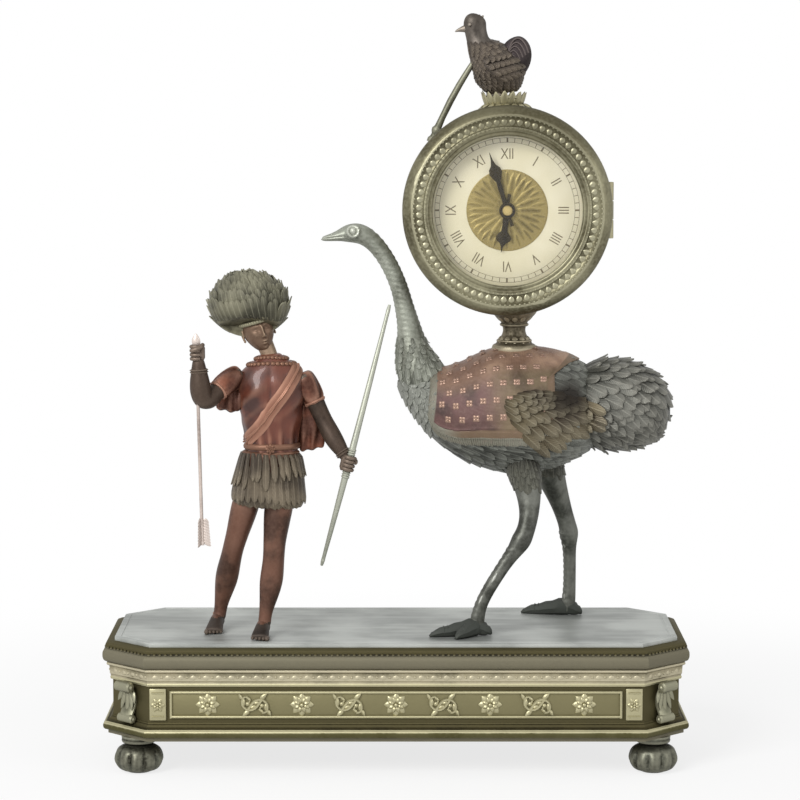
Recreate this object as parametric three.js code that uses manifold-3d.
// Figural table clock: an ostrich carries a drum clock on its back, led by an attendant, on a plinth.
// Millimetres. X runs right along the plinth, Y runs away from the dial side, Z runs up. The origin is the
// centre of the plinth's footprint, on the surface that the feet stand on.
import * as THREE from "three";
import { mergeVertices } from "three/addons/utils/BufferGeometryUtils.js";
import Module from "manifold-3d";

const wasm = await Module();
wasm.setup();

// Clearances that the whole clock shares
const seatGap = 0.3;
const cutOverrun = 2;

// Plinth
const plinthLength = 290;
const plinthDepth = 110;
const cornerCant = 22;
const footHeight = 18;
const footBallRadius = 12;
const footPadRadius = 6;
const footNeckRadius = 6.5;
const footFlangeRadius = 8.5;
const footFlangeHeight = 2.5;
const footInset = 18;
const tieRodRadius = 1.5;
const floorPlateThickness = 2;
const floorPlateInset = 2.5;
const lowerMouldingHeight = 7;
const friezeHeight = 18;
const corniceHeight = 19;
const deckThickness = 2;
const deckInset = 6;
const wallInset = 5;
const wallThickness = 2.5;
const panelThickness = 1.2;
const panelMargin = 2.2;
const rosetteRadius = 5.4;
const rosetteHeight = 1.6;
const rosetteSpacing = 46;
const rosetteCount = 5;

// Ostrich: body casting
const bodyLength = 108;
const bodyHeight = 63;
const bodyWidth = 62;
const bodyWall = 3;
const bodyFrontX = -2;
const bodyClearance = 78;
// [along the length, lowest point, highest point of the height, half width], from breast to rump
const bodySectionShares = [
  [0.0, 0.66, 0.74, 0.08],
  [0.074, 0.54, 0.8, 0.3],
  [0.167, 0.35, 0.835, 0.52],
  [0.278, 0.16, 0.87, 0.76],
  [0.407, 0.048, 0.97, 0.94],
  [0.537, 0.0, 1.0, 1.0],
  [0.667, 0.016, 1.0, 0.96],
  [0.796, 0.08, 0.965, 0.82],
  [0.907, 0.19, 0.88, 0.58],
  [1.0, 0.42, 0.7, 0.16],
];

// Ostrich: neck and head, in shares of the neck's height and reach from its root on the body
const neckHeight = 76;
const neckReach = 53;
const neckRadius = 4.4;
const neckRootShare = { along: 0.13, up: 0.72 };
// [towards the beak, up, radius]
const neckSectionShares = [
  [-0.08, -0.03, 3.0],
  [0.03, 0.1, 2.8],
  [0.07, 0.21, 2.1],
  [0.09, 0.31, 1.5],
  [0.12, 0.41, 1.2],
  [0.16, 0.52, 1.05],
  [0.19, 0.61, 1.0],
  [0.24, 0.7, 0.96],
  [0.3, 0.79, 0.95],
  [0.39, 0.89, 1.02],
  [0.5, 0.965, 1.22],
  [0.6, 0.985, 1.36],
  [0.7, 0.98, 1.16],
  [0.77, 0.968, 0.72],
  [0.86, 0.955, 0.5],
  [0.96, 0.945, 0.26],
];

// Ostrich: tail, wings, legs and feet
const tailLength = 50;
const tailHeight = 46;
const tailWidth = 46;
const tailRootShare = 0.84;
const tailCentreShare = 0.53;
// [along the length, centre above the tail's middle, half height, half width]
const tailSectionShares = [
  [0.0, 0.0, 0.36, 0.4],
  [0.22, 0.02, 0.5, 0.46],
  [0.45, 0.02, 0.52, 0.5],
  [0.68, 0.0, 0.47, 0.44],
  [0.86, -0.02, 0.34, 0.3],
  [1.0, -0.02, 0.14, 0.12],
];
const wingLength = 70;
const wingHeight = 34;
const wingThickness = 4.5;
const wingFrontShare = 0.47;
const wingCentreShare = 0.5;
const legStanceWidth = 56;
const legHipWidth = 30;
const legShankRadius = 3.3;
const legStudRadius = 2;
const legStudLength = 8;
const nearHipShare = 0.57;
const nearFootAheadOfHip = 19.56;
const farHipShare = 0.7;
const farFootBehindHip = 14.4;
const hipHeightShare = 1.12;
// [up from the deck to the hip, sideways from foot to hip, spread from foot to hip, radius]
const nearLegShares = [
  [0.0, -0.02, 0.0, 1.06],
  [0.13, 0.05, 0.0, 1.08],
  [0.21, 0.18, 0.0, 1.03],
  [0.34, 0.53, 0.04, 1.03],
  [0.48, 0.97, 0.12, 1.12],
  [0.555, 1.18, 0.19, 1.35],
  [0.63, 1.3, 0.31, 1.5],
  [0.73, 1.3, 0.54, 2.0],
  [0.85, 1.23, 0.77, 2.7],
  [1.0, 1.0, 1.1, 3.4],
];
const farLegShares = [
  [0.0, 0.02, 0.0, 1.08],
  [0.1, -0.07, 0.0, 1.12],
  [0.19, -0.08, 0.0, 1.03],
  [0.3, -0.08, 0.0, 1.03],
  [0.41, -0.055, 0.08, 1.1],
  [0.5, -0.035, 0.15, 1.35],
  [0.595, 0.14, 0.23, 1.5],
  [0.7, 0.35, 0.46, 2.0],
  [0.82, 0.62, 0.77, 2.7],
  [1.0, 1.0, 1.1, 3.4],
];
const toeLength = 24;
const toeRadius = 3.2;
const innerToeTurn = 11;
const outerToeTurn = 48;
const outerToeShare = 0.66;
const heelShare = 0.3;

// Saddle cloth over the back, and the pedestal that carries the clock
const saddleThickness = 1.8;
const saddleLength = 62;
const saddleFrontShare = 0.17;
const saddleSkirtShare = 0.32;
const saddleCornerRadius = 12;
const pedestalHeight = 21;
const pedestalOffset = 4.5;
const pedestalTopRadius = 12;
const pedestalRadius = 9;
const pedestalWaistRadius = 5.6;
const pedestalStudRadius = 3;
const pedestalStudDepth = 7;

// Clock drum, about an axis along Y
const drumCentreX = 54.5;
const caseRadius = 48;
const caseWall = 2.5;
const caseDepth = 44;
const bezelOverhang = 3.5;
const bezelRadius = caseRadius + bezelOverhang;
const bezelWidth = 15;
const bezelOpeningRadius = bezelRadius - bezelWidth;
const bezelDepth = 9;
const glassSeatWidth = 4.5;
const bezelLipRadius = bezelOpeningRadius + glassSeatWidth;
const glassThickness = 1.4;
const glassRimGap = 0.4;
const glassSetbackShare = 0.5;
const hingePinRadius = 1;
const hingeKnuckleRadius = 2;
const hingeKnuckleLength = 9;
const hingeWebThickness = 2;
const hingeSetback = 3.2;
const rearCoverRim = 2;
const rearCoverDome = 3.5;
const rearCoverKnobRadius = 2.2;
const rearCoverKnobLength = 4;
const fixingScrewRadius = 1.6;
const fixingScrewHeadRadius = 3.4;
const fixingScrewHeadHeight = 1.8;
const fixingScrewDepth = 7;

// Dial and hands
const dialRimClearance = 1;
const dialRadius = caseRadius - caseWall - dialRimClearance;
const dialThickness = 1;
const dialSetback = 1.6;
const dialCentreRadius = 20;
const dialCentreThickness = 0.8;
const dialHoleRadius = 3.1;
const handThickness = 0.7;
const handGap = 1;
const hourHandLength = 21;
const minuteHandLength = 30;
const handHubRadius = 4;
const handBladeWidth = 1.6;
const handSpadeWidth = 5.6;
const handTailLength = 8;
const handNutRadius = 2.5;
const handNutThickness = 1.2;
const hourHandAngle = 188;
const minuteHandAngle = 342.5;

// Motion work between the dial and the front plate
const gearModule = 0.5;
const gearThickness = 1.1;
const gearGap = 0.6;
const meshClearance = 0.12;
const cannonTeeth = 12;
const minuteWheelTeeth = 36;
const minutePinionTeeth = 10;
const hourWheelTeeth = 40;
const arborRadius = 1;
const boreClearance = 0.25;
const pipeWall = 0.65;

// Movement between the plates
const plateRadius = 35;
const plateThickness = 1.8;
const plateGap = 16;
const motionWorkGap = 5.6;
const pillarRadius = 2.2;
const pillarCircleRadius = 31.5;
const pillarAngle = 40;
const centrePinionTeeth = 10;
const barrelTeeth = 52;
const barrelRadius = 11.6;
const barrelDepth = 5.5;
const barrelWall = 1;
const barrelAngle = 215;
const windingArborRadius = 1.8;
const windingSquareLength = 7;
const centreWheelTeeth = 48;
const thirdPinionTeeth = 8;
const thirdWheelAngle = 60;
const thirdWheelTeeth = 40;
const escapePinionTeeth = 8;
const escapeWheelAngle = 117;
const escapeTeeth = 16;
const escapeWheelRadius = 6.4;
const escapeToothDepth = 1.3;
const palletArborRise = 10.2;
const palletReach = 1.5;
const palletThickness = 1.2;
const palletArmSpread = 48;
const pendulumLength = 56;
const pendulumRodRadius = 0.7;
const bobRadius = 8;
const bobThickness = 3.4;
const pendulumBehindPlate = 6;

// Finial bird on the drum
const finialPlinthRadius = 14;
const finialPlinthHeight = 7.5;
const birdFrontOffset = -21.5;
const birdLength = 38;
const birdHeight = 38;
const birdWidth = 20;
const birdLegRadius = 1.3;
const birdLegSpread = 6;
const birdLegLength = 3;
// [back from the breast, up, half length across, half width]
const birdSectionShares = [
  [0.5, 0.0, 0.18, 0.36],
  [0.49, 0.08, 0.28, 0.66],
  [0.5, 0.2, 0.36, 0.94],
  [0.4, 0.34, 0.32, 1.0],
  [0.31, 0.46, 0.25, 0.86],
  [0.21, 0.56, 0.165, 0.6],
  [0.19, 0.66, 0.147, 0.45],
  [0.165, 0.76, 0.152, 0.42],
  [0.153, 0.86, 0.163, 0.44],
  [0.163, 0.95, 0.13, 0.34],
  [0.18, 1.0, 0.05, 0.12],
];
const birdBeakLength = 5.5;
const birdBeakRadius = 2.2;
const birdBeakHeightShare = 0.79;
const birdTailLength = 20;
const birdTailRadius = 9;
// [back, up, radius] from the rump to the tip, in shares of the tail's length and radius
const birdTailShares = [
  [0.0, 0.0, 0.8],
  [0.16, 0.22, 1.0],
  [0.26, 0.46, 0.95],
  [0.24, 0.7, 0.75],
  [0.16, 0.86, 0.4],
];
const birdTailRoot = { back: 0.55, up: 0.22 };
const stayRodRadius = 1.2;
const stayRodAngle = 139;
const stayRodTop = { back: 0.14, up: 0.27 };

// Attendant
const figureX = -62.5;
const figureEdgeDistance = 28;
const figureY = figureEdgeDistance - plinthDepth / 2;
const stature = 167;
const headHeight = 22.5;
const headWidth = 16;
const headDepth = 19;
const shoulderWidth = 37;
const hipWidth = 28;
const chestDepth = 21;
const thighRadius = 7.4;
const armRadius = 4.4;
const handRadius = 4.2;
const limbFootLength = 22;
const limbFootRadius = 4;
// [up from the deck to the crown, aside, forward, half width, half depth, the width that it follows]
const torsoShares = [
  [0.44, 0.0, 0, 0.44, 0.44, "hip"],
  [0.5, 0.004, 0, 0.5, 0.5, "hip"],
  [0.57, 0.008, 0, 0.46, 0.44, "hip"],
  [0.65, 0.008, 0, 0.43, 0.5, "shoulder"],
  [0.73, 0.008, 0, 0.47, 0.52, "shoulder"],
  [0.79, 0.008, 0, 0.49, 0.46, "shoulder"],
  [0.82, 0.006, 0, 0.34, 0.36, "shoulder"],
  [0.84, 0.004, 0, 0.15, 0.22, "shoulder"],
];
// [up, aside, forward, in statures, radius in thigh radii], from the sole to the hip
const rightLegShares = [
  [0.0, -0.156, -0.09, 0.5],
  [0.06, -0.148, -0.095, 0.48],
  [0.14, -0.129, -0.075, 0.66],
  [0.2, -0.117, -0.05, 0.7],
  [0.27, -0.102, -0.02, 0.7],
  [0.36, -0.078, -0.012, 0.9],
  [0.44, -0.056, -0.006, 1.0],
];
const leftLegShares = [
  [0.0, -0.018, 0.02, 0.5],
  [0.06, -0.016, 0.018, 0.48],
  [0.14, -0.004, 0.012, 0.66],
  [0.2, 0.004, 0.016, 0.7],
  [0.27, 0.01, 0.024, 0.7],
  [0.36, 0.02, 0.012, 0.9],
  [0.44, 0.036, 0.004, 1.0],
];
const rightArmShares = [
  [0.775, -0.09, 0.0, 1.2],
  [0.755, -0.125, 0.03, 1.1],
  [0.72, -0.165, 0.062, 0.98],
  [0.705, -0.18, 0.075, 1.0],
  [0.74, -0.19, 0.082, 1.0],
  [0.8, -0.2, 0.086, 0.72],
  [0.85, -0.206, 0.09, 0.7],
];
const leftArmShares = [
  [0.775, 0.108, 0.0, 1.2],
  [0.73, 0.135, 0.0, 1.1],
  [0.67, 0.16, 0.0, 0.95],
  [0.63, 0.176, 0.008, 0.95],
  [0.585, 0.2, 0.024, 0.8],
  [0.545, 0.222, 0.038, 0.66],
  [0.52, 0.236, 0.045, 0.7],
];
const headYaw = 18;
const kiltLength = 31;
const kiltTopShare = 0.555;
const kiltTopWidth = 31;
const kiltHemWidth = 38;
const kiltDepthShare = 0.74;
const headdressWidth = 42;
const headdressHeight = 35;
const headdressDepth = 30;
const headdressAside = -10;
const headdressRiseShare = 1.1;
const faceOpeningWidth = 15;
const faceOpeningHeight = 22;

// Bow, string and arrow
const bowLength = 134;
const bowTilt = 14.6;
const bowDepth = 14;
const bowGripRadius = 1.7;
const bowTipRadius = 0.9;
const bowGripShare = 0.41;
const bowStringRadius = 0.5;
const arrowLength = 104;
const arrowRadius = 0.9;
const arrowTilt = 1.4;
const arrowHeadLength = 7;
const arrowHeadRadius = 2.2;
const arrowVaneLength = 15;
const arrowVaneWidth = 3.6;
const arrowVaneThickness = 0.8;
const arrowGripShare = 0.91;

// Facets round each kind of piece
const bodySides = 16;
const limbSides = 8;
const smallSides = 6;
const drumSides = 32;
const turnedSides = 14;
const screwSides = 8;

const deckTop =
  footHeight + floorPlateThickness + lowerMouldingHeight + friezeHeight + corniceHeight + deckThickness;
const deckUnderside = deckTop - deckThickness;
const xAxis = new THREE.Vector3(1, 0, 0);
const yAxis = new THREE.Vector3(0, 1, 0);
const zAxis = new THREE.Vector3(0, 0, 1);

// Materials
const material = (color, roughness, metalness) =>
  new THREE.MeshStandardMaterial({ color, roughness, metalness });
const gilt = material(0x9c9570, 0.42, 0.9);
const darkGilt = material(0x6e6850, 0.48, 0.9);
const silvered = material(0xb4b8b6, 0.35, 0.9);
const greyBronze = material(0x6d7068, 0.5, 0.7);
const darkBronze = material(0x4b4038, 0.5, 0.7);
const skinBronze = material(0x4a3426, 0.5, 0.6);
const redLacquer = material(0x84513c, 0.5, 0.3);
const saddleEnamel = material(0x8f665c, 0.45, 0.3);
const plumage = material(0x7c7762, 0.6, 0.5);
const enamel = material(0xe6ddb8, 0.3, 0.0);
const clearGlass = material(0xf4f8f8, 0.05, 0.0);
const steel = material(0x8b8f94, 0.3, 1.0);
const brass = material(0xb59a55, 0.35, 1.0);
const blued = material(0x3a3320, 0.4, 0.8);

const clock = new THREE.Group();

// Solids from three.js geometry, and their booleans

function solid(geometry) {
  const bare = geometry.index ? geometry.toNonIndexed() : geometry.clone();
  bare.deleteAttribute("normal");
  bare.deleteAttribute("uv");
  const merged = mergeVertices(bare);
  const corners = merged.index.array;
  const kept = [];
  for (let i = 0; i < corners.length; i += 3) {
    const [a, b, c] = corners.slice(i, i + 3);
    if (a !== b && b !== c && c !== a) kept.push(a, b, c);
  }
  const vertProperties = new Float32Array(merged.attributes.position.array);
  const triVerts = new Uint32Array(kept);
  const made = new wasm.Manifold(new wasm.Mesh({ numProp: 3, vertProperties, triVerts }));
  if (made.volume() > 0) return made;
  const turned = new Uint32Array(kept.length);
  for (let i = 0; i < kept.length; i += 3) turned.set([kept[i], kept[i + 2], kept[i + 1]], i);
  return new wasm.Manifold(new wasm.Mesh({ numProp: 3, vertProperties, triVerts: turned }));
}

function largest(made) {
  const bodies = made.decompose();
  return bodies.reduce((best, body) => (body.volume() > best.volume() ? body : best));
}

function add(name, made, look, parent = clock) {
  const { vertProperties, triVerts, numProp, numVert } = largest(made).getMesh();
  const position = new Float32Array(numVert * 3);
  for (let i = 0; i < numVert; i++) {
    position.set(vertProperties.subarray(i * numProp, i * numProp + 3), i * 3);
  }
  const geometry = new THREE.BufferGeometry();
  geometry.setAttribute("position", new THREE.BufferAttribute(position, 3));
  geometry.setIndex(new THREE.BufferAttribute(triVerts, 1));
  const mesh = new THREE.Mesh(geometry, look);
  mesh.name = name;
  parent.add(mesh);
  return made;
}

const degrees = THREE.MathUtils.degToRad;
const lerp = THREE.MathUtils.lerp;
const point = (x, y, z) => new THREE.Vector3(x, y, z);
const count = (n) => Array.from({ length: n }, (_, i) => i);

// A closed body through rings of vertices that all have the same number of corners
function skin(rings) {
  const sides = rings[0].length;
  const corners = rings.flat();
  const centre = (ring) =>
    ring.reduce((sum, corner) => sum.add(corner), point(0, 0, 0)).divideScalar(ring.length);
  const firstHub = corners.length;
  corners.push(centre(rings[0]), centre(rings.at(-1)));
  const faces = [];
  for (let k = 0; k < sides; k++) {
    const next = (k + 1) % sides;
    for (let i = 0; i + 1 < rings.length; i++) {
      const low = i * sides;
      const high = low + sides;
      faces.push(low + k, low + next, high + next, low + k, high + next, high + k);
    }
    const top = (rings.length - 1) * sides;
    faces.push(firstHub, next, k, firstHub + 1, top + k, top + next);
  }
  const geometry = new THREE.BufferGeometry().setFromPoints(corners);
  geometry.setIndex(faces);
  return solid(geometry);
}

// Stations [{ at, wide, deep }] along a line; wide is measured along the side direction
function loft(stations, sides, { side = yAxis, normal = null, grow = 0 } = {}) {
  const last = stations.length - 1;
  return skin(
    stations.map(({ at, wide, deep }, i) => {
      const before = stations[Math.max(i - 1, 0)].at;
      const after = stations[Math.min(i + 1, last)].at;
      const along = normal ? normal.clone() : after.clone().sub(before).normalize();
      const across = side.clone().addScaledVector(along, -side.dot(along)).normalize();
      const up = along.clone().cross(across);
      const beyond = i === 0 ? -grow : i === last ? grow : 0;
      return count(sides).map((k) => {
        const angle = ((k + 0.5) / sides) * 2 * Math.PI;
        return at
          .clone()
          .addScaledVector(along, beyond)
          .addScaledVector(across, (wide + grow) * Math.cos(angle))
          .addScaledVector(up, (deep + grow) * Math.sin(angle));
      });
    }),
  );
}

// A turned piece about Z through (x, y), from a profile of [radius, height] between points on the axis
function turned(profile, x, y, sides = turnedSides) {
  const points = profile.map(([radius, height]) => new THREE.Vector2(radius, height));
  const geometry = new THREE.LatheGeometry(points, sides);
  geometry.rotateX(Math.PI / 2);
  geometry.translate(x, y, 0);
  return solid(geometry);
}

const rod = (radius, low, high, x, y, sides = screwSides) =>
  turned([[0, low], [radius, low], [radius, high], [0, high]], x, y, sides);

// A turned piece about the drum's axis, moved aside by [x, z] from it
function turnedOnAxis(profile, aside = [0, 0], sides = drumSides) {
  const points = profile.map(([radius, y]) => new THREE.Vector2(radius, y));
  const geometry = new THREE.LatheGeometry(points, sides);
  geometry.translate(aside[0], 0, aside[1]);
  return solid(geometry);
}

const disc = (radius, front, back, aside, sides) =>
  turnedOnAxis([[0, front], [radius, front], [radius, back], [0, back]], aside, sides);

function tube(outer, inner, front, back, aside, sides) {
  const profile = [[inner, front], [outer, front], [outer, back], [inner, back], [inner, front]];
  return turnedOnAxis(profile, aside, sides);
}

const arbor = (radius, front, back, aside = [0, 0]) => disc(radius, front, back, aside, screwSides);
const pipe = (radius, front, back, aside = [0, 0]) => disc(radius, front, back, aside, turnedSides);
const overrun = (front, back) => [front - cutOverrun, back + cutOverrun];

function block(low, high) {
  const size = high.clone().sub(low);
  const geometry = new THREE.BoxGeometry(size.x, size.y, size.z);
  geometry.translate((low.x + high.x) / 2, (low.y + high.y) / 2, (low.z + high.z) / 2);
  return solid(geometry);
}

// An outline of [x, z] points, extruded along Y from front to back
function slab(outline, front, back) {
  const shape = new THREE.Shape(outline.map(([x, z]) => new THREE.Vector2(x, z)));
  const geometry = new THREE.ExtrudeGeometry(shape, { depth: back - front, bevelEnabled: false });
  geometry.rotateX(Math.PI / 2);
  geometry.translate(0, back, 0);
  return solid(geometry);
}

// Plinth: a canted oblong, built up from rings that share one inner face

function cantedCorners(inset) {
  const halfLength = plinthLength / 2 - inset;
  const halfDepth = plinthDepth / 2 - inset;
  const cant = cornerCant - inset * (2 - Math.SQRT2);
  const quarter = [
    [halfLength - cant, halfDepth],
    [halfLength, halfDepth - cant],
  ];
  const [a, b] = quarter;
  return [
    [-a[0], -a[1]], [a[0], -a[1]], [b[0], -b[1]], [b[0], b[1]],
    [a[0], a[1]], [-a[0], a[1]], [-b[0], b[1]], [-b[0], -b[1]],
  ];
}

// A closed profile of [inset, height] swept round the canted oblong
function plinthRing(profile) {
  const loops = profile.map(([inset, height]) => cantedCorners(inset).map(([x, y]) => point(x, y, height)));
  const sides = loops[0].length;
  const faces = [];
  loops.forEach((_, i) => {
    const low = i * sides;
    const high = ((i + 1) % loops.length) * sides;
    for (let k = 0; k < sides; k++) {
      const next = (k + 1) % sides;
      faces.push(low + k, low + next, high + next, low + k, high + next, high + k);
    }
  });
  const geometry = new THREE.BufferGeometry().setFromPoints(loops.flat());
  geometry.setIndex(faces);
  return solid(geometry);
}

function plinthPlate(inset, low, high) {
  return skin([low, high].map((height) => cantedCorners(inset).map(([x, y]) => point(x, y, height))));
}

const innerInset = wallInset + wallThickness;
const floorTop = footHeight + floorPlateThickness;
const friezeBottom = floorTop + lowerMouldingHeight;
const friezeTop = friezeBottom + friezeHeight;
const footX = plinthLength / 2 - footInset;
const footY = plinthDepth / 2 - footInset;

function buildPlinth() {
  const corners = [
    ["foot_front_left", -footX, -footY],
    ["foot_front_right", footX, -footY],
    ["foot_rear_left", -footX, footY],
    ["foot_rear_right", footX, footY],
  ];
  const ballTop = footHeight - footFlangeHeight;
  const ballMiddle = (ballTop * 0.9) / 2;
  for (const [name, x, y] of corners) {
    const foot = turned(
      [
        [0, 0],
        [footPadRadius, 0],
        [lerp(footPadRadius, footBallRadius, 0.72), ballMiddle * 0.34],
        [footBallRadius, ballMiddle * 0.94],
        [footBallRadius * 0.93, ballMiddle * 1.4],
        [footNeckRadius, ballTop * 0.9],
        [footNeckRadius, ballTop],
        [footFlangeRadius, ballTop],
        [footFlangeRadius, footHeight],
        [tieRodRadius, footHeight],
        [tieRodRadius, deckUnderside - seatGap],
        [0, deckUnderside - seatGap],
      ],
      x,
      y,
    );
    add(name, foot, darkGilt);
  }

  let floor = plinthPlate(floorPlateInset, footHeight, floorTop);
  for (const [, x, y] of corners) {
    floor = floor.subtract(rod(tieRodRadius + boreClearance, -cutOverrun, floorTop + cutOverrun, x, y));
  }
  add("base_floor_plate", floor, darkGilt);

  add(
    "base_lower_moulding",
    plinthRing([
      [innerInset, floorTop],
      [wallInset * 0.2, floorTop],
      [0, floorTop + lowerMouldingHeight * 0.2],
      [0, floorTop + lowerMouldingHeight * 0.45],
      [wallInset * 0.3, floorTop + lowerMouldingHeight * 0.7],
      [wallInset * 0.9, floorTop + lowerMouldingHeight * 0.85],
      [wallInset * 0.9, friezeBottom],
      [innerInset, friezeBottom],
    ]),
    gilt,
  );
  add(
    "base_frieze_wall",
    plinthRing([
      [innerInset, friezeBottom],
      [wallInset, friezeBottom],
      [wallInset, friezeTop],
      [innerInset, friezeTop],
    ]),
    gilt,
  );
  add(
    "base_cornice",
    plinthRing([
      [innerInset, friezeTop],
      [wallInset * 0.9, friezeTop],
      [wallInset * 0.85, friezeTop + corniceHeight * 0.12],
      [wallInset * 0.45, friezeTop + corniceHeight * 0.34],
      [wallInset * 0.4, friezeTop + corniceHeight * 0.42],
      [wallInset * 0.1, friezeTop + corniceHeight * 0.48],
      [0, friezeTop + corniceHeight * 0.62],
      [wallInset * 0.1, friezeTop + corniceHeight * 0.8],
      [deckInset * 0.66, friezeTop + corniceHeight],
      [innerInset, friezeTop + corniceHeight],
    ]),
    darkGilt,
  );

  const panelHalf = plinthLength / 2 - wallInset - cornerCant;
  const panelLow = friezeBottom + panelMargin;
  const panelHigh = friezeTop - panelMargin;
  const wallFace = plinthDepth / 2 - wallInset;
  for (const [name, facing] of [["frieze_panel_front", -1], ["frieze_panel_rear", 1]]) {
    let panel = block(
      point(-panelHalf, Math.min(facing * wallFace, facing * (wallFace + panelThickness)), panelLow),
      point(panelHalf, Math.max(facing * wallFace, facing * (wallFace + panelThickness)), panelHigh),
    );
    for (const i of count(rosetteCount)) {
      const x = (i - (rosetteCount - 1) / 2) * rosetteSpacing;
      const face = wallFace + panelThickness;
      const boss = turnedOnAxis(
        [
          [0, facing * wallFace],
          [rosetteRadius, facing * wallFace],
          [rosetteRadius, facing * face],
          [rosetteRadius * 0.6, facing * (face + rosetteHeight * 0.8)],
          [0, facing * (face + rosetteHeight)],
        ],
        [x, (panelLow + panelHigh) / 2],
        screwSides,
      );
      panel = panel.add(boss);
    }
    add(name, panel, gilt);
  }
}

// Ostrich

const bodyBottom = deckTop + bodyClearance;
const bodyXAt = (share) => bodyFrontX + share * bodyLength;
const bodyZAt = (share) => bodyBottom + share * bodyHeight;
const nearFootX = bodyXAt(nearHipShare) - nearFootAheadOfHip;
const farFootX = bodyXAt(farHipShare) + farFootBehindHip;

const bodyStations = () =>
  bodySectionShares.map(([along, low, high, wide]) => ({
    at: point(bodyXAt(along), 0, bodyZAt((low + high) / 2)),
    wide: (wide * bodyWidth) / 2,
    deep: ((high - low) * bodyHeight) / 2,
  }));
const ostrichBody = (grow = 0) => loft(bodyStations(), bodySides, { normal: xAxis, grow });
const bodyHollow = () => loft(bodyStations().slice(1, -1), bodySides, { normal: xAxis, grow: -bodyWall });

const neckRoot = point(bodyXAt(neckRootShare.along), 0, bodyZAt(neckRootShare.up));

function ostrichNeck(grow = 0) {
  const stations = neckSectionShares.map(([ahead, up, radius]) => ({
    at: neckRoot.clone().add(point(-ahead * neckReach, 0, up * neckHeight)),
    wide: radius * neckRadius,
    deep: radius * neckRadius,
  }));
  return loft(stations, screwSides, { grow });
}

function ostrichTail(grow = 0) {
  const middle = bodyZAt(tailCentreShare);
  const stations = tailSectionShares.map(([along, rise, tall, wide]) => ({
    at: point(bodyXAt(tailRootShare) + along * tailLength, 0, middle + rise * tailHeight),
    wide: wide * tailWidth,
    deep: tall * tailHeight,
  }));
  return loft(stations, bodySides, { normal: xAxis, grow });
}

function wingOutline() {
  const front = bodyXAt(wingFrontShare);
  const middle = bodyZAt(wingCentreShare);
  // [along the wing, up from its middle]
  const outlineShares = [
    [0.0, 0.12], [0.06, -0.2], [0.2, -0.42], [0.4, -0.5], [0.6, -0.44], [0.78, -0.3], [0.92, -0.12],
    [1.0, 0.06], [0.9, 0.16], [0.74, 0.26], [0.52, 0.4], [0.3, 0.5], [0.12, 0.4],
  ];
  return outlineShares.map(([along, up]) => [front + along * wingLength, middle + up * wingHeight]);
}

function ostrichWing(facing) {
  const prism = slab(wingOutline(), Math.min(0, facing * bodyWidth), Math.max(0, facing * bodyWidth));
  const shell = ostrichBody(seatGap + wingThickness).add(ostrichTail(seatGap + wingThickness));
  return prism.intersect(shell).subtract(ostrichBody(seatGap)).subtract(ostrichTail(seatGap));
}

function legSpine(shares, footAt, hipShare, facing) {
  const hipX = bodyXAt(hipShare);
  const hipHeight = bodyClearance * hipHeightShare;
  return shares.map(([up, aside, spread, radius]) => ({
    at: point(
      lerp(footAt, hipX, aside),
      (facing * lerp(legStanceWidth, legHipWidth, spread)) / 2,
      deckTop + up * hipHeight,
    ),
    wide: radius * legShankRadius,
    deep: radius * legShankRadius,
  }));
}

function ostrichLeg(shares, footAt, hipShare, facing, grow = 0) {
  const y = (facing * legStanceWidth) / 2;
  let leg = loft(legSpine(shares, footAt, hipShare, facing), limbSides, { grow });
  const toes = [
    [1, degrees(innerToeTurn)],
    [outerToeShare, degrees(outerToeTurn)],
    [-heelShare, 0],
  ];
  for (const [length, turn] of toes) {
    const reach = length * toeLength;
    const aside = facing * Math.abs(reach) * Math.sin(turn);
    const tip = point(footAt - reach * Math.cos(turn), y + aside, deckTop);
    const middle = point(footAt, y, deckTop).lerp(tip, 0.55);
    const toe = loft(
      [
        { at: point(footAt, y, deckTop + toeRadius * 0.6), wide: toeRadius, deep: toeRadius },
        { at: middle.setZ(deckTop + toeRadius * 0.35), wide: toeRadius * 0.85, deep: toeRadius * 0.8 },
        { at: tip.setZ(deckTop), wide: toeRadius * 0.4, deep: toeRadius * 0.4 },
      ],
      limbSides,
      { grow },
    );
    leg = leg.add(toe);
  }
  return leg.subtract(belowDeck());
}

const belowDeck = () =>
  block(point(-plinthLength, -plinthDepth, -cutOverrun), point(plinthLength, plinthDepth, deckTop));

const stud = (x, y) => rod(legStudRadius, deckTop - legStudLength, deckTop + toeRadius, x, y);

// The room that the cloth takes over the back, down to the body
function saddleRoom(grow = 0) {
  const front = bodyXAt(saddleFrontShare) - grow;
  const back = front + saddleLength + grow * 2;
  const hem = bodyZAt(saddleSkirtShare) - grow;
  const top = bodyZAt(1) + bodyHeight;
  const corner = saddleCornerRadius;
  const outline = [
    [front, top], [front, hem + corner], [front + corner * 0.3, hem + corner * 0.3], [front + corner, hem],
    [back - corner, hem], [back - corner * 0.3, hem + corner * 0.3], [back, hem + corner], [back, top],
  ];
  return ostrichBody(seatGap + saddleThickness + grow).intersect(slab(outline, -bodyWidth, bodyWidth));
}

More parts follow.
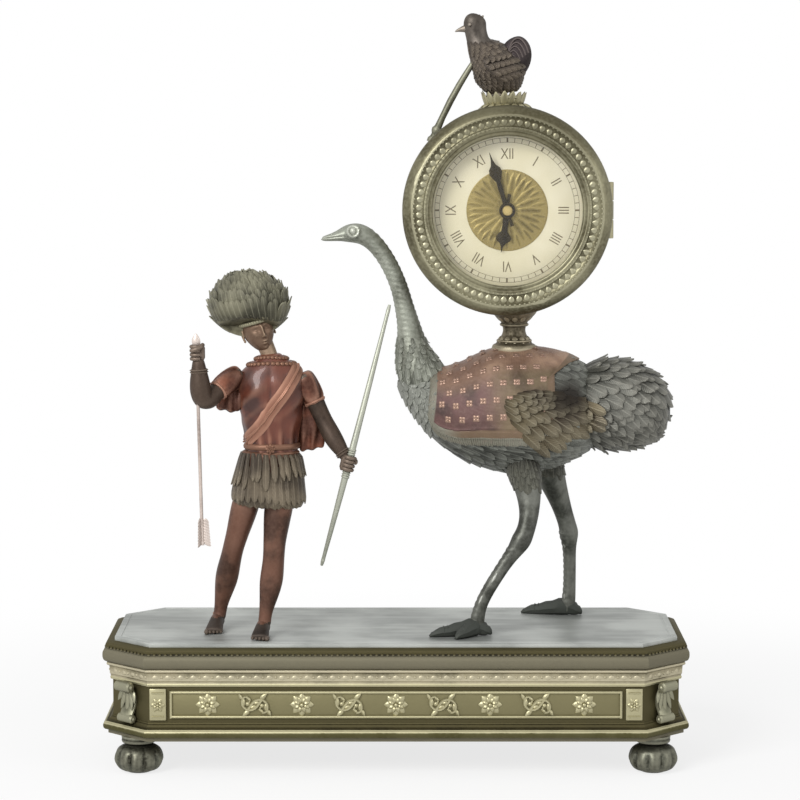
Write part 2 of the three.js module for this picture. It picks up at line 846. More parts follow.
function buildOstrich() {
  const outer = ostrichBody();
  const wallBore = rod(
    pedestalStudRadius + seatGap,
    bodyZAt(0.5),
    bodyZAt(1) + cutOverrun,
    pedestalX,
    0,
  );
  add("ostrich_body", outer.subtract(bodyHollow()).subtract(wallBore), greyBronze);

  const neck = ostrichNeck().subtract(ostrichBody(seatGap)).subtract(saddleRoom(seatGap));
  add("ostrich_neck", neck, greyBronze);
  const tail = ostrichTail().subtract(ostrichBody(seatGap)).subtract(saddleRoom(seatGap));
  add("ostrich_tail", tail, greyBronze);

  const cloth = saddleRoom().subtract(ostrichBody(seatGap)).subtract(wallBore);
  add("saddle_cloth", cloth, saddleEnamel);
  add("ostrich_wing_near", ostrichWing(-1).subtract(saddleRoom(seatGap)), plumage);
  add("ostrich_wing_far", ostrichWing(1).subtract(saddleRoom(seatGap)), plumage);

  const legs = [
    ["ostrich_leg_near", nearLegShares, nearFootX, nearHipShare, -1],
    ["ostrich_leg_far", farLegShares, farFootX, farHipShare, 1],
  ];
  for (const [name, shares, footAt, hipShare, facing] of legs) {
    const leg = ostrichLeg(shares, footAt, hipShare, facing)
      .subtract(ostrichBody(seatGap))
      .subtract(saddleRoom(seatGap))
      .subtract(ostrichWing(facing).add(ostrichTail(seatGap)));
    add(name, leg.add(stud(footAt, (facing * legStanceWidth) / 2)), greyBronze);
  }
}

// Pedestal, drum and dial. The drum is built about its own axis in a group.

const pedestalX = drumCentreX + pedestalOffset;
const drumCentreHeight = bodyZAt(1) + pedestalHeight + caseRadius;
const drum = new THREE.Group();
drum.position.set(drumCentreX, 0, drumCentreHeight);
clock.add(drum);

const caseFront = -caseDepth / 2;
const caseBack = caseDepth / 2;
const caseInner = caseRadius - caseWall;

const atDrum = (made) => made.translate([drumCentreX, 0, drumCentreHeight]);

function buildPedestal() {
  const top = drumCentreHeight - caseRadius + cutOverrun;
  const seat = bodyZAt(1) - cutOverrun;
  const rise = top - seat;
  const screwDepth = fixingScrewDepth + rise * 0.2;
  const pedestal = turned(
    [
      [0, seat],
      [pedestalRadius, seat],
      [pedestalRadius, seat + rise * 0.28],
      [pedestalWaistRadius, seat + rise * 0.36],
      [pedestalWaistRadius, seat + rise * 0.55],
      [lerp(pedestalWaistRadius, pedestalTopRadius, 0.35), seat + rise * 0.66],
      [lerp(pedestalWaistRadius, pedestalTopRadius, 0.85), seat + rise * 0.76],
      [pedestalTopRadius, seat + rise * 0.8],
      [pedestalTopRadius, top],
      [0, top],
    ],
    pedestalX,
    0,
  )
    .subtract(ostrichBody(seatGap * 2 + saddleThickness))
    .subtract(atDrum(disc(caseRadius + seatGap, -plinthDepth, plinthDepth)))
    .subtract(rod(fixingScrewRadius + boreClearance, top - screwDepth, top, pedestalX, 0));
  const foot = rod(
    pedestalStudRadius,
    bodyZAt(1) - pedestalStudDepth,
    bodyZAt(1) + saddleThickness + cutOverrun,
    pedestalX,
    0,
  );
  add("clock_pedestal", pedestal.add(foot), darkBronze);

  const floorFlat = caseInner * Math.cos(Math.PI / drumSides);
  const floorUnderHead = Math.sqrt(floorFlat ** 2 - (pedestalOffset + fixingScrewHeadRadius) ** 2);
  const headTop = fixingScrewHeadHeight - floorUnderHead;
  const bottom = -caseRadius - fixingScrewDepth;
  const screw = turned(
    [
      [0, bottom],
      [fixingScrewRadius, bottom],
      [fixingScrewRadius, headTop - fixingScrewHeadHeight],
      [fixingScrewHeadRadius, headTop - fixingScrewHeadHeight],
      [fixingScrewHeadRadius, headTop],
      [0, headTop],
    ],
    pedestalOffset,
    0,
    screwSides,
  );
  add("drum_fixing_screw", screw, steel, drum);
}

const hingeX = caseRadius + hingeKnuckleRadius + seatGap;
const hingePitch = hingeKnuckleLength + seatGap;
const hingePinHalf = hingePitch * 1.5 - seatGap;
const frontHingeY = caseFront + hingeSetback;
const rearHingeY = caseBack - hingeSetback;

// A hinge knuckle about a vertical line at y, with its web given by two corners of [x, y]
function knuckle(y, middle, near, far) {
  const low = middle - hingeKnuckleLength / 2;
  const high = middle + hingeKnuckleLength / 2;
  const web = block(
    point(Math.min(near[0], far[0]), Math.min(near[1], far[1]), low),
    point(Math.max(near[0], far[0]), Math.max(near[1], far[1]), high),
  );
  return rod(hingeKnuckleRadius, low, high, hingeX, y).add(web);
}

const hingeBore = (y) =>
  rod(hingePinRadius + boreClearance, -hingePitch * 2, hingePitch * 2, hingeX, y);

function buildDrumCase() {
  let shell = tube(caseRadius, caseInner, caseFront, caseBack);
  for (const y of [frontHingeY, rearHingeY]) {
    const reach = caseInner * Math.cos(Math.asin((hingePitch * 1.5) / caseRadius));
    for (const side of [-1, 1]) {
      const near = [reach, y - hingeWebThickness / 2];
      const far = [hingeX, y + hingeWebThickness / 2];
      shell = shell.add(knuckle(y, side * hingePitch, near, far));
    }
    shell = shell.subtract(hingeBore(y));
  }
  shell = shell.subtract(disc(caseInner, caseFront - cutOverrun, caseBack + cutOverrun));
  shell = shell.subtract(
    rod(fixingScrewRadius + boreClearance, -caseRadius - cutOverrun, -caseInner / 2, pedestalOffset, 0),
  );
  add("drum_case", shell, darkGilt, drum);
}

function buildBezelAndCover() {
  const bezelBack = caseFront - seatGap;
  const bezelFront = bezelBack - bezelDepth;
  const glassBack = bezelBack - bezelDepth * glassSetbackShare;
  const rim = bezelRadius - bezelOpeningRadius;
  let bezel = turnedOnAxis([
    [bezelLipRadius, bezelBack],
    [bezelRadius - rim * 0.05, bezelBack],
    [bezelRadius, bezelBack - bezelDepth * 0.25],
    [bezelRadius - rim * 0.08, bezelBack - bezelDepth * 0.6],
    [bezelRadius - rim * 0.3, bezelFront],
    [bezelRadius - rim * 0.55, bezelFront + bezelDepth * 0.06],
    [bezelRadius - rim * 0.78, bezelFront + bezelDepth * 0.16],
    [bezelOpeningRadius, bezelFront + bezelDepth * 0.2],
    [bezelOpeningRadius, glassBack - glassThickness - seatGap],
    [bezelLipRadius, glassBack - glassThickness - seatGap],
    [bezelLipRadius, bezelBack],
  ]);
  const webX = hingeX + hingeKnuckleRadius / 2;
  bezel = bezel.add(
    knuckle(frontHingeY, 0, [caseRadius + seatGap, frontHingeY], [webX, bezelBack - hingeWebThickness]),
  );
  bezel = bezel.subtract(hingeBore(frontHingeY));
  add("front_bezel", bezel, gilt, drum);
  const glass = disc(bezelLipRadius - glassRimGap, glassBack - glassThickness, glassBack);
  add("bezel_glass", glass, clearGlass, drum);

  const coverFront = caseBack + seatGap;
  const coverBack = coverFront + rearCoverRim;
  let cover = turnedOnAxis([
    [0, coverFront],
    [caseRadius, coverFront],
    [caseRadius, coverBack],
    [caseRadius * 0.9, coverBack + rearCoverDome * 0.3],
    [caseRadius * 0.8, coverBack + rearCoverDome * 0.3],
    [caseRadius * 0.5, coverBack + rearCoverDome * 0.8],
    [rearCoverKnobRadius, coverBack + rearCoverDome],
    [rearCoverKnobRadius, coverBack + rearCoverDome + rearCoverKnobLength],
    [0, coverBack + rearCoverDome + rearCoverKnobLength],
  ]);
  cover = cover
    .add(knuckle(rearHingeY, 0, [caseRadius + seatGap, rearHingeY], [webX, coverFront + rearCoverRim]))
    .add(knuckle(rearHingeY, 0, [caseInner, coverFront], [webX, coverFront + rearCoverRim]));
  add("rear_cover", cover.subtract(hingeBore(rearHingeY)), darkGilt, drum);

  for (const [name, y] of [["bezel_hinge_pin", frontHingeY], ["rear_hinge_pin", rearHingeY]]) {
    add(name, rod(hingePinRadius, -hingePinHalf, hingePinHalf, hingeX, y, smallSides), steel, drum);
  }
}

// Levels along the drum's axis, from the dial back to the rear plate

const dialFront = caseFront + dialSetback;
const dialBack = dialFront + dialThickness;
const plateFront = dialBack + motionWorkGap;
const plateFrontBack = plateFront + plateThickness;
const rearPlateFront = plateFrontBack + plateGap;
const rearPlateBack = rearPlateFront + plateThickness;
const cannonRadius = arborRadius + boreClearance + pipeWall;
const hourPipeRadius = cannonRadius + boreClearance + pipeWall;
const hourHandBack = dialFront - dialCentreThickness - handGap * 0.4;
const hourHandFront = hourHandBack - handThickness;
const minuteHandBack = hourHandFront - handGap;
const minuteHandFront = minuteHandBack - handThickness;
const handNutBack = minuteHandFront - boreClearance;
const handNutFront = handNutBack - handNutThickness;

function buildDial() {
  add("dial_plate", tube(dialRadius, dialHoleRadius, dialFront, dialBack), enamel, drum);
  const centreFront = dialFront - dialCentreThickness;
  const centre = tube(dialCentreRadius, dialHoleRadius, centreFront, dialFront, [0, 0], turnedSides * 2);
  add("dial_centre", centre, gilt, drum);
}

// Outline of a hand that points up: a tail, a stem, a spade and a tip
function handOutline(length, tail) {
  const blade = handBladeWidth / 2;
  const spade = handSpadeWidth / 2;
  const right = [
    [blade * 0.7, -tail],
    [blade, 0],
    [blade * 0.8, length * 0.48],
    [spade, length * 0.6],
    [spade * 0.9, length * 0.68],
    [blade * 0.7, length * 0.8],
    [blade * 0.3, length],
  ];
  return [...right, ...right.map(([x, z]) => [-x, z]).reverse()];
}

function handSolid({ length, tail, angle, hub, bore, front, back }) {
  const hand = slab(handOutline(length, tail), front, back).add(pipe(hub, front, back));
  return hand.subtract(pipe(bore, ...overrun(front, back))).rotate([0, angle, 0]);
}

function buildHands() {
  const hourHand = handSolid({
    length: hourHandLength,
    tail: 0,
    angle: hourHandAngle,
    hub: handHubRadius,
    bore: hourPipeRadius + boreClearance,
    front: hourHandFront,
    back: hourHandBack,
  });
  add("hour_hand", hourHand, blued, drum);
  const minuteHand = handSolid({
    length: minuteHandLength,
    tail: handTailLength,
    angle: minuteHandAngle,
    hub: handHubRadius * 0.8,
    bore: cannonRadius + boreClearance,
    front: minuteHandFront,
    back: minuteHandBack,
  });
  add("minute_hand", minuteHand, blued, drum);
  const nutBore = arborRadius + boreClearance;
  const nut = tube(handNutRadius, nutBore, handNutFront, handNutBack, [0, 0], smallSides);
  add("hand_nut", nut, brass, drum);
}

// Wheels: an outline of straight-sided teeth, with one tooth or one gap centred on the angle given

function toothedOutline(teeth, towards, meshesTooth, module) {
  const pitch = (teeth * module) / 2;
  const tip = pitch + module * 0.8;
  const root = pitch - module * 1.6;
  const step = (2 * Math.PI) / teeth;
  const start = degrees(towards) + (meshesTooth ? 0 : step / 2);
  const corner = (radius, angle) => [radius * Math.cos(angle), radius * Math.sin(angle)];
  return count(teeth).flatMap((i) => {
    const middle = start + i * step;
    return [
      corner(root, middle - step / 2),
      corner(tip, middle - step * 0.06),
      corner(tip, middle + step * 0.06),
    ];
  });
}

function wheel(teeth, towards, meshesTooth, front, back, aside, module = gearModule) {
  const outline = toothedOutline(teeth, towards, meshesTooth, module);
  return slab(outline, front, back).translate([aside[0], 0, aside[1]]);
}

const meshDistance = (a, b) => ((a + b) * gearModule) / 2 + meshClearance;
const polar = (distance, angle, from = [0, 0]) => [
  from[0] + distance * Math.cos(degrees(angle)),
  from[1] + distance * Math.sin(degrees(angle)),
];
const bearings = (angle) => (angle + 180) % 360;
const down = 270;

const hourModule = (gearModule * (cannonTeeth + minuteWheelTeeth)) / (hourWheelTeeth + minutePinionTeeth);
const minuteWheelAt = polar(meshDistance(cannonTeeth, minuteWheelTeeth), down);
const barrelAt = polar(meshDistance(centrePinionTeeth, barrelTeeth), barrelAngle);
const thirdAt = polar(meshDistance(centreWheelTeeth, thirdPinionTeeth), thirdWheelAngle);
const escapeAt = polar(meshDistance(thirdWheelTeeth, escapePinionTeeth), escapeWheelAngle, thirdAt);
const palletAt = [escapeAt[0], escapeAt[1] + palletArborRise];

// Levels of the wheels between the plates, measured from the front plate's inner face
const centreWheelFront = plateFrontBack + gearGap;
const thirdWheelFront = centreWheelFront + gearThickness + gearGap * 2;
const greatWheelFront = thirdWheelFront + gearThickness + gearGap;
const barrelFront = greatWheelFront + gearThickness;
const escapeFront = greatWheelFront + gearThickness + gearGap;
const pinionEnd = gearGap * 0.6;

function buildMotionWork() {
  const cannonBack = plateFront - gearGap;
  const cannonFront = cannonBack - gearThickness;
  const hourBack = cannonFront - gearGap;
  const hourFront = hourBack - gearThickness;

  const cannon = wheel(cannonTeeth, down, true, cannonFront - pinionEnd, cannonBack, [0, 0])
    .add(pipe(cannonRadius, minuteHandFront, cannonBack))
    .subtract(arbor(arborRadius + boreClearance, ...overrun(minuteHandFront, cannonBack)));
  add("cannon_pinion", cannon, steel, drum);

  const minutePinion = wheel(
    minutePinionTeeth, bearings(down), true, hourFront - pinionEnd, cannonFront, minuteWheelAt, hourModule,
  );
  const minuteWheel = wheel(minuteWheelTeeth, bearings(down), false, cannonFront, cannonBack, minuteWheelAt)
    .add(minutePinion)
    .add(arbor(arborRadius, hourFront - gearGap, plateFront + plateThickness / 2, minuteWheelAt));
  add("minute_wheel", minuteWheel, brass, drum);

  const hourWheel = wheel(hourWheelTeeth, down, false, hourFront, hourBack, [0, 0], hourModule)
    .add(pipe(hourPipeRadius, hourHandFront, hourBack))
    .subtract(pipe(cannonRadius + boreClearance, ...overrun(hourHandFront, hourBack)));
  add("hour_wheel", hourWheel, brass, drum);
}

function buildPlates() {
  const arborHole = arborRadius + boreClearance;
  const windingHole = windingArborRadius + boreClearance;
  let front = disc(plateRadius, plateFront, plateFrontBack, [0, 0], turnedSides * 2);
  let rear = disc(plateRadius, rearPlateFront, rearPlateBack, [0, 0], turnedSides * 2);
  const drill = (plate, radius, at) =>
    plate.subtract(arbor(radius, ...overrun(plateFront, rearPlateBack), at));
  for (const at of [[0, 0], thirdAt, escapeAt, palletAt]) {
    front = drill(front, arborHole, at);
    rear = drill(rear, arborHole, at);
  }
  front = drill(front, arborHole, minuteWheelAt);
  front = drill(front, windingHole, barrelAt);
  rear = drill(rear, windingHole, barrelAt);
  const pillarEnd = rearPlateFront + plateThickness / 2;
  for (const angle of [pillarAngle, 180 - pillarAngle, 180 + pillarAngle, 360 - pillarAngle]) {
    rear = rear.add(arbor(pillarRadius, plateFrontBack, pillarEnd, polar(pillarCircleRadius, angle)));
  }
  add("movement_front_plate", front, brass, drum);
  add("movement_rear_plate", rear, brass, drum);
}

function buildTrain() {
  const centreWheelBack = centreWheelFront + gearThickness;
  const thirdWheelBack = thirdWheelFront + gearThickness;
  const towardsCentre = bearings(thirdWheelAngle);
  const towardsThird = bearings(escapeWheelAngle);

  const centrePinionFront = greatWheelFront - pinionEnd;
  const centrePinionBack = barrelFront + pinionEnd;
  const centre = wheel(centreWheelTeeth, thirdWheelAngle, true, centreWheelFront, centreWheelBack, [0, 0])
    .add(arbor(arborRadius, handNutFront, rearPlateBack))
    .add(wheel(centrePinionTeeth, barrelAngle, true, centrePinionFront, centrePinionBack, [0, 0]));
  add("centre_wheel", centre, brass, drum);

  const thirdPinionFront = centreWheelFront - pinionEnd * 0.5;
  const thirdPinionBack = centreWheelBack + pinionEnd;
  const third = wheel(thirdWheelTeeth, escapeWheelAngle, true, thirdWheelFront, thirdWheelBack, thirdAt)
    .add(wheel(thirdPinionTeeth, towardsCentre, false, thirdPinionFront, thirdPinionBack, thirdAt))
    .add(arbor(arborRadius, plateFront, rearPlateBack, thirdAt));
  add("third_wheel", third, brass, drum);

  const step = 360 / escapeTeeth;
  const escapeOutline = count(escapeTeeth).flatMap((i) => [
    polar(escapeWheelRadius - escapeToothDepth, i * step),
    polar(escapeWheelRadius, (i + 0.62) * step),
    polar(escapeWheelRadius, (i + 0.74) * step),
  ]);
  const escapePinionFront = thirdWheelFront - pinionEnd;
  const escapePinionBack = thirdWheelBack + pinionEnd;
  const escape = slab(escapeOutline, escapeFront, escapeFront + gearThickness)
    .translate([escapeAt[0], 0, escapeAt[1]])
    .add(wheel(escapePinionTeeth, towardsThird, false, escapePinionFront, escapePinionBack, escapeAt))
    .add(arbor(arborRadius, plateFront, rearPlateBack, escapeAt));
  add("escape_wheel", escape, brass, drum);
}

function buildBarrel() {
  const barrelBack = barrelFront + barrelDepth;
  const facets = turnedSides * 2;
  const hollowRadius = barrelRadius - barrelWall;
  const hollow = disc(hollowRadius, barrelFront + barrelWall, barrelBack + cutOverrun, barrelAt, facets);
  const bore = arbor(windingArborRadius + boreClearance, ...overrun(greatWheelFront, barrelFront), barrelAt);
  const towardsCentre = bearings(barrelAngle);
  const barrel = wheel(barrelTeeth, towardsCentre, false, greatWheelFront, barrelFront, barrelAt)
    .add(disc(barrelRadius, barrelFront, barrelBack, barrelAt, facets))
    .subtract(hollow)
    .subtract(bore);
  add("mainspring_barrel", barrel, brass, drum);

  const square = windingArborRadius * Math.SQRT1_2;
  const [x, z] = barrelAt;
  const winding = arbor(windingArborRadius, plateFront, rearPlateBack, barrelAt).add(
    block(
      point(x - square, rearPlateBack - plateThickness, z - square),
      point(x + square, rearPlateBack + windingSquareLength, z + square),
    ),
  );
  add("winding_arbor", winding, steel, drum);
}

// Pallets inside the plates and the pendulum behind them turn on one arbor

function buildPendulum() {
  const palletFront = escapeFront;
  const palletBack = escapeFront + gearThickness;
  const clearRadius = escapeWheelRadius + palletReach;
  const arms = [-1, 1].map((side) => {
    const inward = -side * palletThickness;
    const tip = polar(clearRadius, 90 + side * palletArmSpread, escapeAt);
    const elbow = polar(clearRadius + palletThickness, 90 + side * palletArmSpread * 0.8, escapeAt);
    const outline = [
      tip,
      elbow,
      [palletAt[0] + inward, palletAt[1]],
      [palletAt[0] + inward * 1.6, palletAt[1] + palletThickness],
      [elbow[0] + inward, elbow[1] + palletThickness],
      [tip[0] + inward, tip[1] + palletThickness * 0.3],
    ];
    return slab(outline, palletFront, palletBack);
  });
  const anchor = arbor(palletThickness * 2, palletFront, palletBack, palletAt)
    .add(arms[0])
    .add(arms[1])
    .add(arbor(arborRadius, plateFront, rearPlateBack + pendulumBehindPlate - seatGap, palletAt));
  add("pallet_anchor", anchor, steel, drum);

  const rodY = rearPlateBack + pendulumBehindPlate;
  const bobZ = palletAt[1] - pendulumLength;
  const pendulum = arbor(palletThickness * 1.5, rodY, rodY + pendulumRodRadius * 2, palletAt)
    .add(rod(pendulumRodRadius, bobZ, palletAt[1], palletAt[0], rodY + pendulumRodRadius, smallSides))
    .add(
      turnedOnAxis(
        [
          [0, rodY + pendulumRodRadius - bobThickness / 2],
          [bobRadius, rodY + pendulumRodRadius],
          [0, rodY + pendulumRodRadius + bobThickness / 2],
        ],
        [palletAt[0], bobZ],
        turnedSides,
      ),
    );
  add("pendulum", pendulum, brass, drum);
}

// Finial: a bird on a turned plinth, with a stay rod to the drum

const caseTop = drumCentreHeight + caseRadius;
const birdFeet = caseTop + finialPlinthHeight;
const birdFront = drumCentreX + birdFrontOffset;
const birdBase = birdFeet + birdLegLength;

function buildFinial() {
  const drumCut = atDrum(disc(caseRadius + seatGap, -plinthDepth, plinthDepth));
  const plinth = turned(
    [
      [0, caseTop - finialPlinthHeight],
      [finialPlinthRadius, caseTop - finialPlinthHeight],
      [finialPlinthRadius, caseTop + finialPlinthHeight * 0.25],
      [finialPlinthRadius * 0.72, caseTop + finialPlinthHeight * 0.5],
      [finialPlinthRadius * 0.56, caseTop + finialPlinthHeight * 0.75],
      [finialPlinthRadius * 0.66, caseTop + finialPlinthHeight * 0.85],
      [finialPlinthRadius * 0.66, birdFeet],
      [0, birdFeet],
    ],
    drumCentreX,
    0,
  ).subtract(drumCut);
  add("finial_plinth", plinth, darkGilt);

  const stations = birdSectionShares.map(([back, up, long, wide]) => ({
    at: point(birdFront + back * birdLength, 0, birdBase + up * birdHeight),
    wide: (wide * birdWidth) / 2,
    deep: long * birdLength,
  }));
  const birdBody = (grow = 0) => loft(stations, screwSides, { normal: zAxis, grow });
  const beakAt = point(
    birdFront + birdSectionShares.at(-3)[0] * birdLength, 0, birdBase + birdBeakHeightShare * birdHeight,
  );
  const beak = loft(
    [
      { at: beakAt, wide: birdBeakRadius, deep: birdBeakRadius * 1.2 },
      {
        at: beakAt.clone().add(point(-birdBeakLength, 0, 0)),
        wide: birdBeakRadius * 0.7,
        deep: birdBeakRadius * 0.8,
      },
      {
        at: beakAt.clone().add(point(-birdBeakLength * 1.4, 0, -birdBeakRadius * 0.3)),
        wide: birdBeakRadius * 0.15,
        deep: birdBeakRadius * 0.2,
      },
    ],
    smallSides,
  );
  let bird = birdBody().add(beak);
  const legX = birdFront + birdSectionShares[0][0] * birdLength;
  for (const side of [-1, 1]) {
    const legY = (side * birdLegSpread) / 2;
    bird = bird.add(rod(birdLegRadius, birdFeet, birdBase + birdHeight * 0.12, legX, legY, smallSides));
  }
  add("finial_bird", bird, darkBronze);

  const rump = point(
    birdFront + birdTailRoot.back * birdLength, 0, birdBase + birdTailRoot.up * birdHeight,
  );
  const tail = loft(
    birdTailShares.map(([back, up, size]) => ({
      at: rump.clone().add(point(back * birdTailLength, 0, up * birdTailLength)),
      wide: size * birdTailRadius * 0.7,
      deep: size * birdTailRadius,
    })),
    screwSides,
  ).subtract(birdBody(seatGap));
  add("finial_tail", tail, darkBronze);

  const drumPoint = polar(caseRadius + seatGap + stayRodRadius, stayRodAngle);
  const low = point(drumCentreX + drumPoint[0], 0, drumCentreHeight + drumPoint[1]);
  const high = point(birdFront + stayRodTop.back * birdLength, 0, birdBase + stayRodTop.up * birdHeight);
  const stay = loft(
    [
      { at: low, wide: stayRodRadius * 1.3, deep: stayRodRadius * 1.3 },
      { at: low.clone().lerp(high, 0.12), wide: stayRodRadius, deep: stayRodRadius },
      { at: high, wide: stayRodRadius, deep: stayRodRadius },
    ],
    smallSides,
  )
    .subtract(birdBody(seatGap))
    .subtract(drumCut)
    .subtract(plinth.translate([-seatGap, 0, seatGap]));
  add("finial_stay_rod", stay, darkGilt);
}

// Attendant: every place is measured in statures from the deck under the figure

const figurePoint = (up, aside, forward) =>
  point(figureX + aside * stature, figureY - forward * stature, deckTop + up * stature);

function torso(grow = 0) {
  const width = { hip: hipWidth, shoulder: shoulderWidth };
  const stations = torsoShares.map(([up, aside, forward, wide, deep, span]) => ({
    at: figurePoint(up, aside, forward),
    wide: wide * width[span],
    deep: deep * chestDepth,
  }));
  return loft(stations, screwSides * 1.5, { side: xAxis, normal: zAxis, grow });
}

function limb(shares, radius, grow = 0) {
  const stations = shares.map(([up, aside, forward, size]) => ({
    at: figurePoint(up, aside, forward),
    wide: size * radius,
    deep: size * radius,
  }));
  return loft(stations, limbSides, { grow });
}

function figureLeg(shares, grow = 0) {
  const ankle = figurePoint(0, shares[0][1], shares[0][2]);
  const heel = ankle.clone().add(point(0, limbFootLength * 0.28, limbFootRadius * 0.8));
  const instep = ankle.clone().add(point(0, -limbFootLength * 0.35, limbFootRadius * 0.6));
  const toe = ankle.clone().add(point(-limbFootRadius * 0.3, -limbFootLength * 0.72, limbFootRadius * 0.2));
  const foot = loft(
    [
      { at: heel, wide: limbFootRadius * 0.8, deep: limbFootRadius * 0.9 },
      { at: instep, wide: limbFootRadius, deep: limbFootRadius * 1.1 },
      { at: toe, wide: limbFootRadius * 0.8, deep: limbFootRadius * 0.6 },
    ],
    limbSides,
    { side: xAxis, grow },
  );
  return limb(shares, thighRadius, grow).add(foot).subtract(belowDeck());
}

const headBase = figurePoint(torsoShares.at(-1)[0], torsoShares.at(-1)[1], 0);
const headCentre = headBase.clone().add(point(-headWidth * 0.36, -headDepth * 0.08, headHeight * 0.45));

function head(grow = 0) {
  // [up the head, aside, half width, half depth, forward], from the neck inside the collar to the crown
  const headShares = [
    [-0.14, 0.0, 0.26, 0.24, -0.06],
    [0.04, -0.08, 0.25, 0.24, -0.05],
    [0.12, -0.2, 0.28, 0.32, 0.06],
    [0.24, -0.28, 0.42, 0.44, 0.04],
    [0.45, -0.35, 0.48, 0.5, 0.0],
    [0.7, -0.43, 0.5, 0.52, -0.02],
    [0.92, -0.5, 0.42, 0.44, -0.03],
    [1.06, -0.54, 0.24, 0.26, -0.03],
    [1.12, -0.55, 0.08, 0.08, -0.03],
  ];
  const stations = headShares.map(([up, aside, wide, deep, forward]) => ({
    at: headBase.clone().add(point(aside * headWidth, -forward * headDepth, up * headHeight)),
    wide: wide * headWidth,
    deep: deep * headDepth,
  }));
  const made = loft(stations, screwSides, { side: xAxis, normal: zAxis, grow });
  const axis = [headCentre.x, headBase.y, 0];
  return made.translate(axis.map((v) => -v)).rotate([0, 0, headYaw]).translate(axis);
}

function headdress() {
  const middle = headBase.clone().add(point(headdressAside, 0, headHeight * headdressRiseShare));
  const discShares = [
    [-0.5, 0.5], [-0.36, 0.8], [-0.12, 0.98], [0.12, 1.0], [0.34, 0.84], [0.5, 0.55],
  ];
  const stations = discShares.map(([back, size]) => ({
    at: middle.clone().add(point(0, back * headdressDepth, 0)),
    wide: (size * headdressWidth) / 2,
    deep: (size * headdressHeight) / 2,
  }));
  const feathers = loft(stations, turnedSides, { side: xAxis, normal: yAxis });
  const face = loft(
    [
      [-1, 1],
      [-0.12, 0.9],
    ].map(([back, size]) => ({
      at: headCentre.clone().add(point(0, back * headdressDepth, 0)),
      wide: (size * faceOpeningWidth) / 2,
      deep: (size * faceOpeningHeight) / 2,
    })),
    screwSides,
    { side: xAxis, normal: yAxis },
  );
  return feathers.subtract(head(seatGap)).subtract(face).subtract(torso(seatGap));
}

function kilt() {
  const top = figurePoint(kiltTopShare, 0.008, 0);
  const hem = top.clone().add(point(-kiltLength * 0.08, 0, -kiltLength));
  const stations = [top, top.clone().lerp(hem, 0.3), hem].map((at, i) => {
    const width = lerp(kiltTopWidth, kiltHemWidth, [0, 0.5, 1][i]) / 2;
    return { at, wide: width, deep: width * kiltDepthShare };
  });
  return loft(stations, turnedSides, { side: xAxis, normal: zAxis });
}

// Bow: tips on the string line, belly bent forward at the grip
const bowGrip = figurePoint(leftArmShares.at(-1)[0], leftArmShares.at(-1)[1], leftArmShares.at(-1)[2]);
const bowAxis = point(Math.sin(degrees(bowTilt)), 0, Math.cos(degrees(bowTilt)));

function bow(grow = 0) {
  // [along the bow from its grip, bend forward, radius]
  const bowShares = [
    [0.0, -0.14, 0.0], [0.04, 0.02, 0.1], [0.14, 0.42, 0.4], [0.28, 0.82, 0.8], [bowGripShare, 1.0, 1.0],
    [0.56, 0.86, 0.8], [0.74, 0.56, 0.55], [0.9, 0.16, 0.25], [0.97, 0.0, 0.1], [1.0, -0.12, 0.0],
  ];
  const stations = bowShares.map(([along, bend, size]) => {
    const radius = lerp(bowTipRadius, bowGripRadius, size);
    return {
      at: bowGrip
        .clone()
        .addScaledVector(bowAxis, (along - bowGripShare) * bowLength)
        .add(point(0, (1 - bend) * bowDepth, 0)),
      wide: radius,
      deep: radius,
    };
  });
  return loft(stations, smallSides, { side: xAxis, grow });
}

function bowString(grow = 0) {
  const nockShares = [0.03, 0.975];
  const stations = nockShares.map((along) => ({
    at: bowGrip
      .clone()
      .addScaledVector(bowAxis, (along - bowGripShare) * bowLength)
      .add(point(0, bowDepth * 1.08, 0)),
    wide: bowStringRadius,
    deep: bowStringRadius,
  }));
  return loft(stations, smallSides, { side: xAxis, grow });
}

const arrowGrip = figurePoint(rightArmShares.at(-1)[0], rightArmShares.at(-1)[1], rightArmShares.at(-1)[2]);

function arrow(grow = 0) {
  const axis = point(-Math.sin(degrees(arrowTilt)), 0, Math.cos(degrees(arrowTilt)));
  const along = (distance) => arrowGrip.clone().addScaledVector(axis, distance);
  const low = -arrowLength * arrowGripShare;
  const high = arrowLength + low;
  let made = loft(
    [
      { at: along(low), wide: arrowRadius, deep: arrowRadius },
      { at: along(high - arrowHeadLength), wide: arrowRadius, deep: arrowRadius },
      { at: along(high - arrowHeadLength), wide: arrowHeadRadius, deep: arrowHeadRadius },
      { at: along(high), wide: arrowRadius * 0.2, deep: arrowRadius * 0.2 },
    ].map((station, i) => (i === 2 ? { ...station, at: along(high - arrowHeadLength * 0.92) } : station)),
    smallSides,
    { side: xAxis, grow },
  );
  for (const turn of [0, 120, 240]) {
    const vane = block(
      point(0, -arrowVaneThickness / 2, low + arrowRadius),
      point(arrowRadius + arrowVaneWidth, arrowVaneThickness / 2, low + arrowVaneLength),
    )
      .rotate([0, 0, turn])
      .rotate([0, -arrowTilt, 0])
      .translate([arrowGrip.x, arrowGrip.y, arrowGrip.z]);
    made = made.add(vane);
  }
  return made;
}

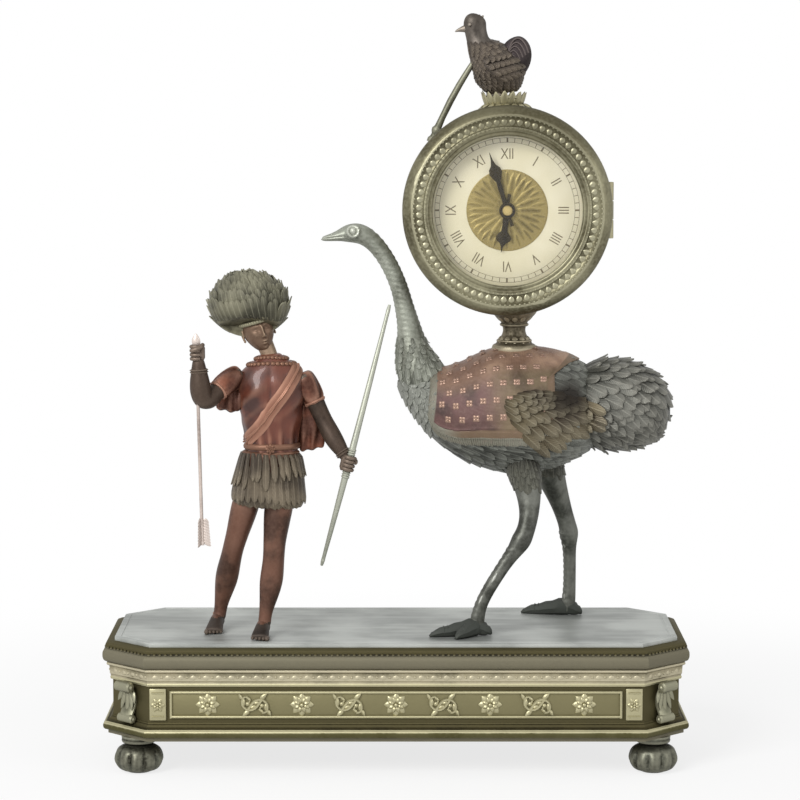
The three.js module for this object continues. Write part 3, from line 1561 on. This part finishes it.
function arm(shares, held) {
  const hand = figurePoint(shares.at(-1)[0], shares.at(-1)[1], shares.at(-1)[2]);
  const fist = loft(
    [-0.9, -0.5, 0.5, 0.9].map((up, i) => ({
      at: hand.clone().add(point(0, 0, up * handRadius)),
      wide: handRadius * [0.5, 0.95, 0.95, 0.5][i],
      deep: handRadius * [0.5, 0.9, 0.9, 0.5][i],
    })),
    limbSides,
    { side: xAxis },
  );
  return limb(shares, armRadius).add(fist).subtract(torso(seatGap)).subtract(held);
}

function buildAttendant() {
  const legs = [
    ["attendant_right_leg", rightLegShares],
    ["attendant_left_leg", leftLegShares],
  ];
  for (const [name, shares] of legs) {
    let leg = figureLeg(shares).subtract(torso(seatGap));
    if (name === "attendant_left_leg") leg = leg.subtract(figureLeg(rightLegShares, seatGap));
    const ankle = figurePoint(0, shares[0][1], shares[0][2]);
    add(name, leg.add(stud(ankle.x, ankle.y)), skinBronze);
  }
  add("attendant_torso", torso(), redLacquer);
  add("attendant_head", head().subtract(torso(seatGap)), skinBronze);
  add("attendant_headdress", headdress(), plumage);
  const skirt = kilt()
    .subtract(torso(seatGap))
    .subtract(figureLeg(rightLegShares, seatGap))
    .subtract(figureLeg(leftLegShares, seatGap));
  add("attendant_kilt", skirt, plumage);
  add("attendant_right_arm", arm(rightArmShares, arrow(seatGap)), skinBronze);
  add("attendant_left_arm", arm(leftArmShares, bow(seatGap)).subtract(skirt), skinBronze);
  add("bow", bow().subtract(bowString(seatGap)), darkBronze);
  add("bow_string", bowString(), steel);
  add("arrow", arrow(), darkBronze);
}

function buildDeck() {
  let deck = plinthPlate(deckInset, deckUnderside, deckTop);
  const studs = [
    [nearFootX, -legStanceWidth / 2],
    [farFootX, legStanceWidth / 2],
    ...[rightLegShares, leftLegShares].map(([sole]) => {
      const ankle = figurePoint(0, sole[1], sole[2]);
      return [ankle.x, ankle.y];
    }),
  ];
  const studHole = legStudRadius + boreClearance;
  for (const [x, y] of studs) {
    deck = deck.subtract(rod(studHole, deckUnderside - cutOverrun, deckTop + cutOverrun, x, y));
  }
  add("deck_plate", deck, silvered);
}

buildPlinth();
buildDeck();
buildOstrich();
buildPedestal();
buildDrumCase();
buildBezelAndCover();
buildDial();
buildHands();
buildMotionWork();
buildPlates();
buildTrain();
buildBarrel();
buildPendulum();
buildFinial();
buildAttendant();

export default clock;
